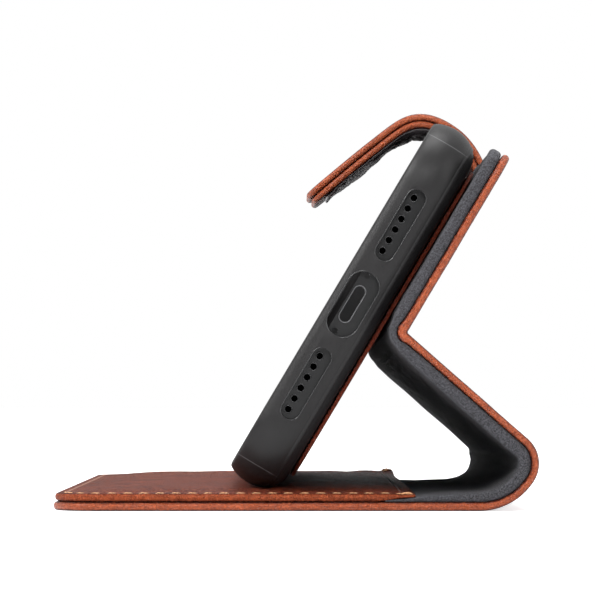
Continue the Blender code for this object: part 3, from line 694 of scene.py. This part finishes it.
def stitch_piece(name, places, lay, mat=THREAD, **shape):
    verts, faces = stitch_flat(places, **shape)
    world = lay(verts)
    mesh = bpy.data.meshes.new(name)
    mesh.from_pydata([tuple(v) for v in world], [], faces)
    obj = add(name, mesh)
    finish_mesh(mesh, world, world, np.full(len(world), 5.0), mat, 0)
    bm = bmesh.new()
    bm.from_mesh(mesh)
    bmesh.ops.recalc_face_normals(bm, faces=bm.faces)
    bm.to_mesh(mesh)
    bm.free()
    return obj


def on_pocket(v):
    low, high = pocket_faces(v[:, 0], v[:, 1])
    rim = inset_of(v[:, 0], v[:, 1], P_LEFT, P_RIGHT + 9, P_HALF, 8.7, 0.9)
    sink = 0.10 * np.exp(-((rim - 2.0) / 0.5) ** 2)
    return np.stack([v[:, 0] + pocket_bow(v[:, 0], v[:, 1]), v[:, 1], high - sink + v[:, 2]], 1)


def u_line(x0, x1, half, r, q, side=1):
    """Near edge from x1 to x0, round both corners and back along the far edge."""
    pts = [(x1, -half + q)]
    rr = r - q
    for begin, cy in ((270, -half + r), (180, half - r)):
        for i in range(13):
            a = rad(begin - 90.0 * i / 12)
            pts.append((x0 + r + rr * math.cos(a), cy + rr * math.sin(a)))
    pts.append((x1, half - q))
    return pts


perimeter = walk(u_line(P_LEFT, 21.2, P_HALF, 8.7, 2.0), 3.1, skip=1.0)
near_row = [p for p in perimeter if p[1] < -70.0]
rest_row = [p for p in perimeter if p[1] >= -70.0]
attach(stitch_piece("pocket_stitches", near_row, on_pocket, rise=0.08, ply=0.12), "front_cover")
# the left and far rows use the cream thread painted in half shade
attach(stitch_piece("pocket_stitches_far", rest_row, on_pocket, THREAD_HALF_SHADE, rise=-0.04, ply=0.12, seed=8), "front_cover")
mouth = walk([(20.1, -74.0), (20.1, 74.5)], 3.1, skip=1.2)
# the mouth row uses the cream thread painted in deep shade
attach(stitch_piece("pocket_mouth_stitches", mouth, on_pocket, THREAD_DEEP_SHADE, rise=0.0, ply=0.10, seed=5), "front_cover")
tack_v, tack_f = stitch_flat([(21.6, -77.05, 0.05), (21.6, 77.05, -0.05), (21.3, -77.6, 0.5), (21.3, 77.6, -0.5)], length=2.4,
                             ply=0.17, rise=0.20, slant=0.0, seed=3)
tw = on_pocket(tack_v)
tm = bpy.data.meshes.new("pocket_corner_tacks")
tm.from_pydata([tuple(v) for v in tw], [], tack_f)
tack_obj = add("pocket_corner_tacks", tm)
finish_mesh(tm, tw, tw, np.full(len(tw), 5.0), THREAD, 0)
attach(tack_obj, "front_cover")


def under_case(v):
    """On the outer face: the height of the thread points away from the face."""
    s, y, h = v[:, 0], v[:, 1], v[:, 2]
    dx, dz, ripple = flex(s, y, h)
    rim = inset_of(s, y, LEFT, S_END, HALF, 9.0, 5.0)
    x, z = CASE.at(s, ripple + 0.13 - h)
    return np.stack([x + dx, y, np.maximum(z + dz, 0.02)], 1)


def ring_line(x0, x1, half, r0, r1, q):
    pts = outline(x0, x1, -half, half, r0, r1, q, 10)
    return pts + pts[:1]


around_case = walk(ring_line(LEFT, S_END, HALF, 9.0, 5.0, 2.0), 3.1)
for k, (a, b) in enumerate(((-999, SEAM_1), (SEAM_1, SEAM_2), (SEAM_2, 999))):
    some = [p for p in around_case if a <= p[0] < b and not (S_FOLD - 1.6 < p[0] < S_FOLD + FOLD_ARC + 1.6)]
    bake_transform(stitch_piece(f"case_stitches_{'abc'[k]}", some, under_case, rise=-0.02, ply=0.15, seed=20 + k))

# ---- closing strap ---------------------------------------------------------
STRAP_RUN = [(40.5, 69.3), (39.8, 71.2), (38.7, 73.4), (37.3, 75.5), (35.5, 77.5), (33.3, 79.2), (30.8, 80.6), (28.1, 81.5),
             (25.3, 81.6), (22.8, 80.9), (20.2, 79.4), (16.0, 76.2), (11.5, 72.6), (6.8, 68.7), (2.0, 64.7)]


def curve_through(points, per_span):
    ends = [(2 * points[0][0] - points[1][0], 2 * points[0][1] - points[1][1])] + list(points) + \
           [(2 * points[-1][0] - points[-2][0], 2 * points[-1][1] - points[-2][1])]
    out = []
    for i in range(1, len(ends) - 2):
        p0, p1, p2, p3 = (Vector(ends[i + k]) for k in (-1, 0, 1, 2))
        for k in range(per_span + (1 if i == len(ends) - 3 else 0)):
            t = k / per_span
            out.append(0.5 * ((2 * p1) + (p2 - p0) * t + (2 * p0 - 5 * p1 + 4 * p2 - p3) * t * t
                              + (3 * p1 - p0 - 3 * p2 + p3) * t ** 3))
    return out


strap_pts = curve_through(STRAP_RUN, 10)
strap_s = [0.0]
for p, q in zip(strap_pts, strap_pts[1:]):
    strap_s.append(strap_s[-1] + (q - p).length)
strap_s = np.array(strap_s)
strap_x, strap_z = np.array([p.x for p in strap_pts]), np.array([p.y for p in strap_pts])
strap_d = np.unwrap(np.arctan2(np.gradient(strap_z, strap_s), np.gradient(strap_x, strap_s)))


def strap_line(s):
    s0 = min(max(s, strap_s[0]), strap_s[-1])
    x, z, d = (float(np.interp(s0, strap_s, v)) for v in (strap_x, strap_z, strap_d))
    return x + (s - s0) * math.cos(d), z + (s - s0) * math.sin(d), math.degrees(d)


STRAP_END = float(strap_s[-1])
STRAP = Line(strap_line, -6.0, STRAP_END)
S_PART = float(strap_s[42])


def strap_layer(label, s0, s1, half, r, low, thick, edge, mat, nodes_a, nodes_b, groove=(), wrinkle=0.0, groove_low=False):
    bm = pad(s0, s1, half, 0.3, r, thick, edge, span(s0 + 1.5, s1 - 1.2, 0.7 if wrinkle else 1.0),
             span(-half + 1.5, half - 1.5, 0.8 if wrinkle else 3.0), groove, groove_low, 10)
    made = []
    for k, (a, b) in enumerate(((None, S_PART), (S_PART, None))):
        mesh = to_mesh(f"{label}_{'ab'[k]}", part_of(bm, a, b))
        flat = coords(mesh)
        n = low + flat[:, 2]
        if wrinkle:
            w = np.array([noise.fractal(Vector((f[0] * 0.16, f[1] * 0.33, 3.7)), 0.8, 2.1, 5) for f in flat])
            ridge = np.array([abs(noise.noise(Vector((f[0] * 0.28 + 9, f[1] * 0.16, 1.1)))) for f in flat])
            body = 0.25 + 0.95 * ease((flat[:, 0] - 9.0) / 8.0) * (1 - 0.62 * ease((flat[:, 0] - 20.0) / 12.0)) * (1 - 0.8 * ease((flat[:, 0] - 38.0) / 16.0))
            fold_at = ease((12.7 - np.abs(flat[:, 1])) / 1.5) * 0.55 + 0.45
            n = n + body * fold_at * (wrinkle * (w * 1.5 + 0.5 - 2.0 * ridge) + 0.35).clip(-0.1, 1.6) * (0.35 + 0.65 * flat[:, 2] / thick)
        x, z = STRAP.at(flat[:, 0], n)
        rim = inset_of(flat[:, 0], flat[:, 1], s0, s1, half, 0.3, r)
        obj = add(mesh.name, mesh)
        finish_mesh(mesh, np.stack([x, flat[:, 1], z], 1), np.stack([flat[:, 0] + 400, flat[:, 1], n], 1), rim, mat)
        if k == 0:
            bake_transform(obj)
        else:
            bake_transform(obj)
        names = (nodes_a, nodes_b)[k]
        if names:
            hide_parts(*names)
        made.append(obj)
    bm.free()
    return made


strap_layer("strap_outer", -3.4, STRAP_END, 13.5, 5.0, 0.0, 1.42, 0.70, STRAP_L,
            ["strap_root_outer"], ["strap_tab_outer"], ((2.0, 0.5, 0.12),), groove_low=True)
strap_layer("strap_inner", -3.0, STRAP_END - 0.1, 13.45, 5.0, 1.50, 1.42, 0.70, STRAP_L,
            ["strap_root_inner"], ["strap_tab_inner"])
strap_layer("strap_lining", 4.0, STRAP_END - 3.0, 12.7, 4.4, 2.93, 0.36, 0.18, CRINKLE,
            [], ["strap_tab_lining"], wrinkle=0.5)


def on_strap(v):
    x, z = STRAP.at(v[:, 0], 0.12 - v[:, 2])
    return np.stack([x, v[:, 1], z], 1)


strap_places = walk(u_line(0, 1, 1, 1, 0) and [(2.5, -11.5), (STRAP_END - 5.0, -11.5)] + [
    (STRAP_END - 5.0 + 3.0 * math.cos(a), -8.5 + 3.0 * math.sin(a)) for a in np.linspace(-math.pi / 2, 0, 8)] + [
    (STRAP_END - 5.0 + 3.0 * math.cos(a), 8.5 + 3.0 * math.sin(a)) for a in np.linspace(0, math.pi / 2, 8)] + [
    (2.5, 11.5)], 3.1, skip=1.0)
low_part = [p for p in strap_places if p[0] < S_PART]
high_part = [p for p in strap_places if p[0] >= S_PART]
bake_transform(stitch_piece("strap_stitches_a", low_part, on_strap, rise=-0.02, ply=0.14, seed=31))
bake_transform(stitch_piece("strap_stitches_b", high_part, on_strap, rise=-0.02, ply=0.14, seed=32))

# ---- phone shell -----------------------------------------------------------
HALF_W, HALF_L, THICK, CORNER, WALL, BAY = 40.3, 77.7, 10.8, 14.0, 1.3, 9.65


def rounded(a, b, r, count):
    return outline(-a, a, -b, b, r, r, 0.0, count)


def prism(name, pts, z0, z1, matrix=Matrix.Identity(4)):
    bm = bmesh.new()
    low = [bm.verts.new((x, y, z0)) for x, y in pts]
    high = [bm.verts.new((x, y, z1)) for x, y in pts]
    for i in range(len(pts)):
        j = (i + 1) % len(pts)
        bm.faces.new((low[i], low[j], high[j], high[i]))
    bm.faces.new(list(reversed(low)))
    bm.faces.new(high)
    bmesh.ops.recalc_face_normals(bm, faces=bm.faces)
    bm.transform(matrix)
    return add(name, to_mesh(name, bm))


def smooth_sections(keys, per=3):
    keys = [Vector(k) for k in keys]
    out = []
    for i in range(len(keys) - 1):
        p0, p1, p2, p3 = keys[max(0, i - 1)], keys[i], keys[i + 1], keys[min(len(keys) - 1, i + 2)]
        for k in range(per):
            t = k / per
            out.append(0.5 * ((2 * p1) + (p2 - p0) * t + (2 * p0 - 5 * p1 + 4 * p2 - p3) * t * t
                              + (3 * p1 - p0 - 3 * p2 + p3) * t ** 3))
    return out + [keys[-1]]


OUTER = [(1.75, 0.0), (1.2, 0.2), (0.62, 1.2), (0.22, 2.5), (0.02, 3.8), (0.0, 4.8), (0.15, 6.0), (0.65, 7.5), (1.45, 8.8),
         (2.5, 9.8), (3.9, 10.5), (5.6, THICK)]
INNER = [(WALL + 1.2, BAY), (WALL + 0.35, BAY - 0.35), (WALL, BAY - 0.9), (WALL, 6.0), (WALL, 2.7), (WALL + 0.35, 1.7),
         (WALL + 0.85, 0.8), (WALL + 1.15, 0.3)]
rings_in = INNER + [(WALL + 1.22, 0.12), (WALL + 1.0, -0.0), (1.95, -0.04)]
rings = [Vector(r) for r in rings_in] + smooth_sections(OUTER, 3)
bm = bmesh.new()
loops = []
for q, z in rings:
    loops.append([bm.verts.new((x, y, -z)) for x, y in rounded(HALF_W - q, HALF_L - q, max(2.0, CORNER - q), 16)])
for a, b in zip(loops, loops[1:]):
    for i in range(len(a)):
        j = (i + 1) % len(a)
        bm.faces.new((a[i], a[j], b[j], b[i]))
bm.faces.new(list(reversed(loops[0])))
bm.faces.new(loops[-1])
bmesh.ops.recalc_face_normals(bm, faces=bm.faces)
tray = add("shell_body", to_mesh("shell_body", bm))

UP = Matrix.Rotation(rad(90), 4, "X")
SIDE = Matrix.Rotation(rad(90), 4, "Y") @ Matrix.Rotation(rad(90), 4, "Z")


def stadium(a, b, count=12):
    return rounded(a / 2, b / 2, b / 2 - 0.01, count)


def at(x, y, z):
    return Matrix.Translation((x, y, z))


tools = [prism("slot_low", stadium(15.5, 3.75), -2.0, 2.6, at(-17.8, -HALF_L, -4.6) @ UP),
         prism("slot_high", stadium(15.5, 3.75), -2.0, 2.6, at(17.8, -HALF_L, -4.6) @ UP),
         prism("slot_mid", stadium(13.8, 6.2), -1.7, 2.6, at(0, -HALF_L, -4.5) @ UP)]
for y, along, side in ((30.0, 12.7, 1), (34.0, 11.2, -1), (20.0, 11.2, -1)):
    tools.append(prism("side_slot", stadium(along, 3.5, 8), -2.5, 2.5, at(side * (HALF_W - 1.2), y, -4.6) @ SIDE))
tools.append(prism("mute_slot", stadium(8.0, 4.4, 8), -2.5, 2.5, at(-(HALF_W - 1.2), 49.0, -4.6) @ SIDE))
tools.append(prism("rear_window", rounded(15.0, 15.0, 7.5, 10), -4.0, 4.0, at(20.0, 56.0, -BAY - 1.0)))
for t in tools:
    boolean(tray, t)
bev = tray.modifiers.new("soft", "BEVEL")
bev.width, bev.segments, bev.limit_method, bev.angle_limit = 0.26, 3, "ANGLE", rad(48)
bev.use_clamp_overlap = True
mesh = apply(tray)
drop(*tools)


def set_in_shell(obj, mat, rim_value=5.0, angle=35):
    """The mesh is in shell coordinates, millimetres."""
    mesh = obj.data
    co = coords(mesh)
    world = np.array([list((LEAN @ Vector((c[0] * MM, c[1] * MM, c[2] * MM)))) for c in co]) / MM
    finish_mesh(mesh, world, co, np.full(len(co), rim_value), mat, angle)


set_in_shell(tray, SHELL, angle=38)
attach(tray, "phone_shell")
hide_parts("shell_tray")

liner = prism("shell_inner_wall", rounded(HALF_W - 1.55, HALF_L - 1.55, CORNER - 1.55, 14), -8.75, -2.75)
tools = [prism("bay", rounded(HALF_W - 2.2, HALF_L - 2.2, CORNER - 2.2, 14), -12.0, 2.0),
         prism("connector", stadium(7.6, 2.1), -4.0, 0.0, at(0, -HALF_L, -4.4) @ UP)]
for centre in (-17.8, 17.8):
    for k in range(6):
        tools.append(prism("hole", [(0.68 * math.cos(a), 0.68 * math.sin(a)) for a in np.linspace(0, 2 * math.pi, 20, endpoint=False)],
                           -3.5, 0.0, at(centre + 2.38 * (k - 2.5), -HALF_L, -4.1) @ UP))
for u in (-6.1, 6.1):
    tools.append(prism("hole", [(0.6 * math.cos(a), 0.6 * math.sin(a)) for a in np.linspace(0, 2 * math.pi, 20, endpoint=False)],
                       -3.5, 0.0, at(u, -HALF_L, -4.1) @ UP))
for y, along, side in ((30.0, 12.7, 1), (34.0, 11.2, -1), (20.0, 11.2, -1)):
    tools.append(prism("side_slot", stadium(along, 3.5, 8), -2.5, 2.5, at(side * (HALF_W - 1.2), y, -4.6) @ SIDE))
tools.append(prism("mute_slot", stadium(8.0, 4.4, 8), -2.5, 2.5, at(-(HALF_W - 1.2), 49.0, -4.6) @ SIDE))
for t in tools:
    boolean(liner, t)
apply(liner)
drop(*tools)
set_in_shell(liner, LINER, angle=30)
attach(liner, "phone_shell")
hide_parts("shell_liner")


def rim_tube(name, pts, y, radius, mat, z):
    """A thin closed ring standing on the connector end's inner wall."""
    bm = bmesh.new()
    n, sides = len(pts), 8
    loops = []
    for i, (px, py) in enumerate(pts):
        ax, ay = pts[i - 1]
        bx, by = pts[(i + 1) % n]
        tx, ty = bx - ax, by - ay
        length = math.hypot(tx, ty)
        nx, ny = ty / length, -tx / length
        loops.append([bm.verts.new((px + radius * math.cos(a) * nx, y + radius * math.sin(a), z + py + radius * math.cos(a) * ny))
                      for a in np.linspace(0, 2 * math.pi, sides, endpoint=False)])
    for i in range(n):
        a, b = loops[i], loops[(i + 1) % n]
        for j in range(sides):
            k = (j + 1) % sides
            bm.faces.new((a[j], a[k], b[k], b[j]))
    bmesh.ops.recalc_face_normals(bm, faces=bm.faces)
    obj = add(name, to_mesh(name, bm))
    set_in_shell(obj, mat, angle=0)
    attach(obj, "phone_shell")
    return obj


FACE_Y = -HALF_L + 1.55
rim_tube("connector_rim", stadium(7.9, 2.4), FACE_Y - 0.02, 0.11, RIM_METAL, -4.4)
for centre in (-17.8, 17.8):
    for k in range(6):
        circle = [(centre + 2.38 * (k - 2.5) + 0.74 * math.cos(a), 0.74 * math.sin(a)) for a in np.linspace(0, 2 * math.pi, 24, endpoint=False)]
        rim_tube(f"sound_rim_{'low' if centre < 0 else 'high'}_{k}", circle, FACE_Y - 0.04, 0.12, RIM_DARK, -4.1)

for label, wide, high, u, z in (("low", 15.5, 3.75, -17.8, -4.6), ("high", 15.5, 3.75, 17.8, -4.6), ("mid", 13.8, 6.2, 0.0, -4.5)):
    rim_tube("slot_lip_" + label, [(u + x, y) for x, y in stadium(wide + 0.16, high + 0.16, 16)], -HALF_L + 0.20, 0.13, RIM_DARK, z)
# painted shade: a near-black sheet behind each row of sound holes makes them read dark
for centre, label in ((-17.8, "low"), (17.8, "high")):
    shade_sheet = prism("hole_shade_sheet_" + label, stadium(14.9, 2.9), -0.25, 0.0, at(centre, -HALF_L + 2.28, -4.1) @ UP)
    set_in_shell(shade_sheet, HOLE_SHADE)
    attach(shade_sheet, "phone_shell")

back = pad(-34.7, 34.7, 72.1, 8.6, 8.6, 0.8, 0.3, span(-30, 30, 6.0), span(-66, 66, 6.0), ((2.0, 0.5, 0.1),), False, 12)
panel = add("shell_back_leather", to_mesh("shell_back_leather", back))
window = prism("window", rounded(15.2, 15.2, 7.6, 10), -4.0, 6.0, at(-20.0, 56.0, 0.0))
boolean(panel, window)
mesh = apply(panel)
drop(window)
flat = coords(mesh)
local = np.stack([-flat[:, 0], flat[:, 1], -11.05 - flat[:, 2]], 1)
world = np.array([list(LEAN @ Vector(tuple(c * MM))) for c in local]) / MM
# the shell's back leather uses the cognac leather painted in deep shade
finish_mesh(mesh, world, flat + np.array([600, 0, 0]), inset_of(flat[:, 0], flat[:, 1], -34.7, 34.7, 72.1, 8.6, 8.6), SHELL_LEATHER_IN_SHADE)
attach(panel, "phone_shell")
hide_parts("shell_leather_back")


def on_shell_back(v):
    local = np.stack([-v[:, 0], v[:, 1], -11.85 + 0.1 - v[:, 2]], 1)
    return np.array([list(LEAN @ Vector(tuple(c * MM))) for c in local]) / MM


places = [p for p in walk(ring_line(-34.7, 34.7, 72.1, 8.6, 8.6, 2.0), 3.1)
          if not (abs(p[0] + 20.0) < 16.5 and abs(p[1] - 56.0) < 16.5)]
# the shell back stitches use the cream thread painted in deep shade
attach(stitch_piece("shell_back_stitches", places, on_shell_back, THREAD_DEEP_SHADE, rise=-0.04, ply=0.13, seed=41), "phone_shell")

# ---- the CAD pieces that are shown as they are -----------------------------
for names, mat in ((("front_cover_board", "lower_back_board", "upper_back_board"), BOARD),
                   (("closure_plate", "shell_steel_plate"), STEEL),
                   (("lower_magnet_near", "lower_magnet_far", "upper_magnet_near", "upper_magnet_mid", "strap_magnet"), MAGNET),
                   (("camera_ring", "power_button", "volume_up_button", "volume_down_button"), BUTTON),
                   (("shell_floor_pad",), PAD)):
    for n in names:
        o = nodes[n]
        o.data.materials.clear()
        o.data.materials.append(mat)

# ---- floor, light and camera -----------------------------------------------
bm = bmesh.new()
bmesh.ops.create_grid(bm, x_segments=1, y_segments=1, size=3.0)
floor = add("floor", to_mesh("floor", bm))
floor.location = (0, 0.6, -0.00005)
ft = Tree("pale_floor")
seen = ft.node("ShaderNodeLightPath")
floor.data.materials.append(ft.set(Base_Color=(0.86, 0.86, 0.87), Roughness=0.8, Specular_IOR_Level=0.1, Emission_Color=(1.0, 1.0, 1.0),
                                   Emission_Strength=ft.math("MULTIPLY", seen.outputs["Is Camera Ray"], 0.62)))

world_data = bpy.data.worlds.new("studio")
scene.world = world_data
world_data.use_nodes = True
bg = world_data.node_tree.nodes["Background"]
wt = world_data.node_tree
place = wt.nodes.new("ShaderNodeTexCoord")
axes = wt.nodes.new("ShaderNodeSeparateXYZ")
wt.links.new(place.outputs["Generated"], axes.inputs[0])
fall = wt.nodes.new("ShaderNodeMapRange")
fall.interpolation_type = "SMOOTHSTEP"
for k, v in (("From Min", -0.7), ("From Max", 0.45), ("To Min", 0.07), ("To Max", 0.85)):
    fall.inputs[k].default_value = v
wt.links.new(axes.outputs["Y"], fall.inputs["Value"])
path = wt.nodes.new("ShaderNodeLightPath")
pick = wt.nodes.new("ShaderNodeMix")
pick.data_type = "FLOAT"
wt.links.new(path.outputs["Is Camera Ray"], pick.inputs[0])
wt.links.new(fall.outputs["Result"], pick.inputs[2])
pick.inputs[3].default_value = 1.0
bg.inputs["Color"].default_value = (1.0, 1.0, 1.0, 1.0)
wt.links.new(pick.outputs[0], bg.inputs["Strength"])
scene.view_settings.view_transform = "Standard"


def softbox(name, place, target, size, power, colour=(1, 1, 1)):
    light = bpy.data.lights.new(name, "AREA")
    light.shape, light.size, light.size_y = "RECTANGLE", size[0], size[1]
    light.energy, light.color = power, colour
    obj = bpy.data.objects.new(name, light)
    scene.collection.objects.link(obj)
    obj.location = place
    obj.rotation_euler = (Vector(target) - Vector(place)).to_track_quat("-Z", "Y").to_euler()
    return obj


softbox("key", (-0.62, -0.50, 0.75), (0, 0, 0.03), (0.35, 0.35), 9.0)
softbox("top", (0.10, 0.02, 1.1), (0, 0, 0.03), (0.6, 0.6), 8.0)
softbox("front", (0.05, -1.05, 0.62), (0, -0.05, 0.03), (0.9, 0.12), 6.0)
softbox("right", (0.75, -0.45, 0.35), (0, 0, 0.03), (0.25, 0.6), 1.7)

cam = bpy.data.cameras.new("camera")
cam.lens, cam.sensor_width, cam.sensor_fit = 210.0, 36.0, "AUTO"
cam.clip_start, cam.clip_end = 0.01, 30.0
camera = bpy.data.objects.new("camera", cam)
scene.collection.objects.link(camera)
camera.location = (-0.0002, -0.752, 0.0233)
camera.rotation_euler = (rad(90 + 1.47), 0.0, rad(-0.04))
scene.camera = camera
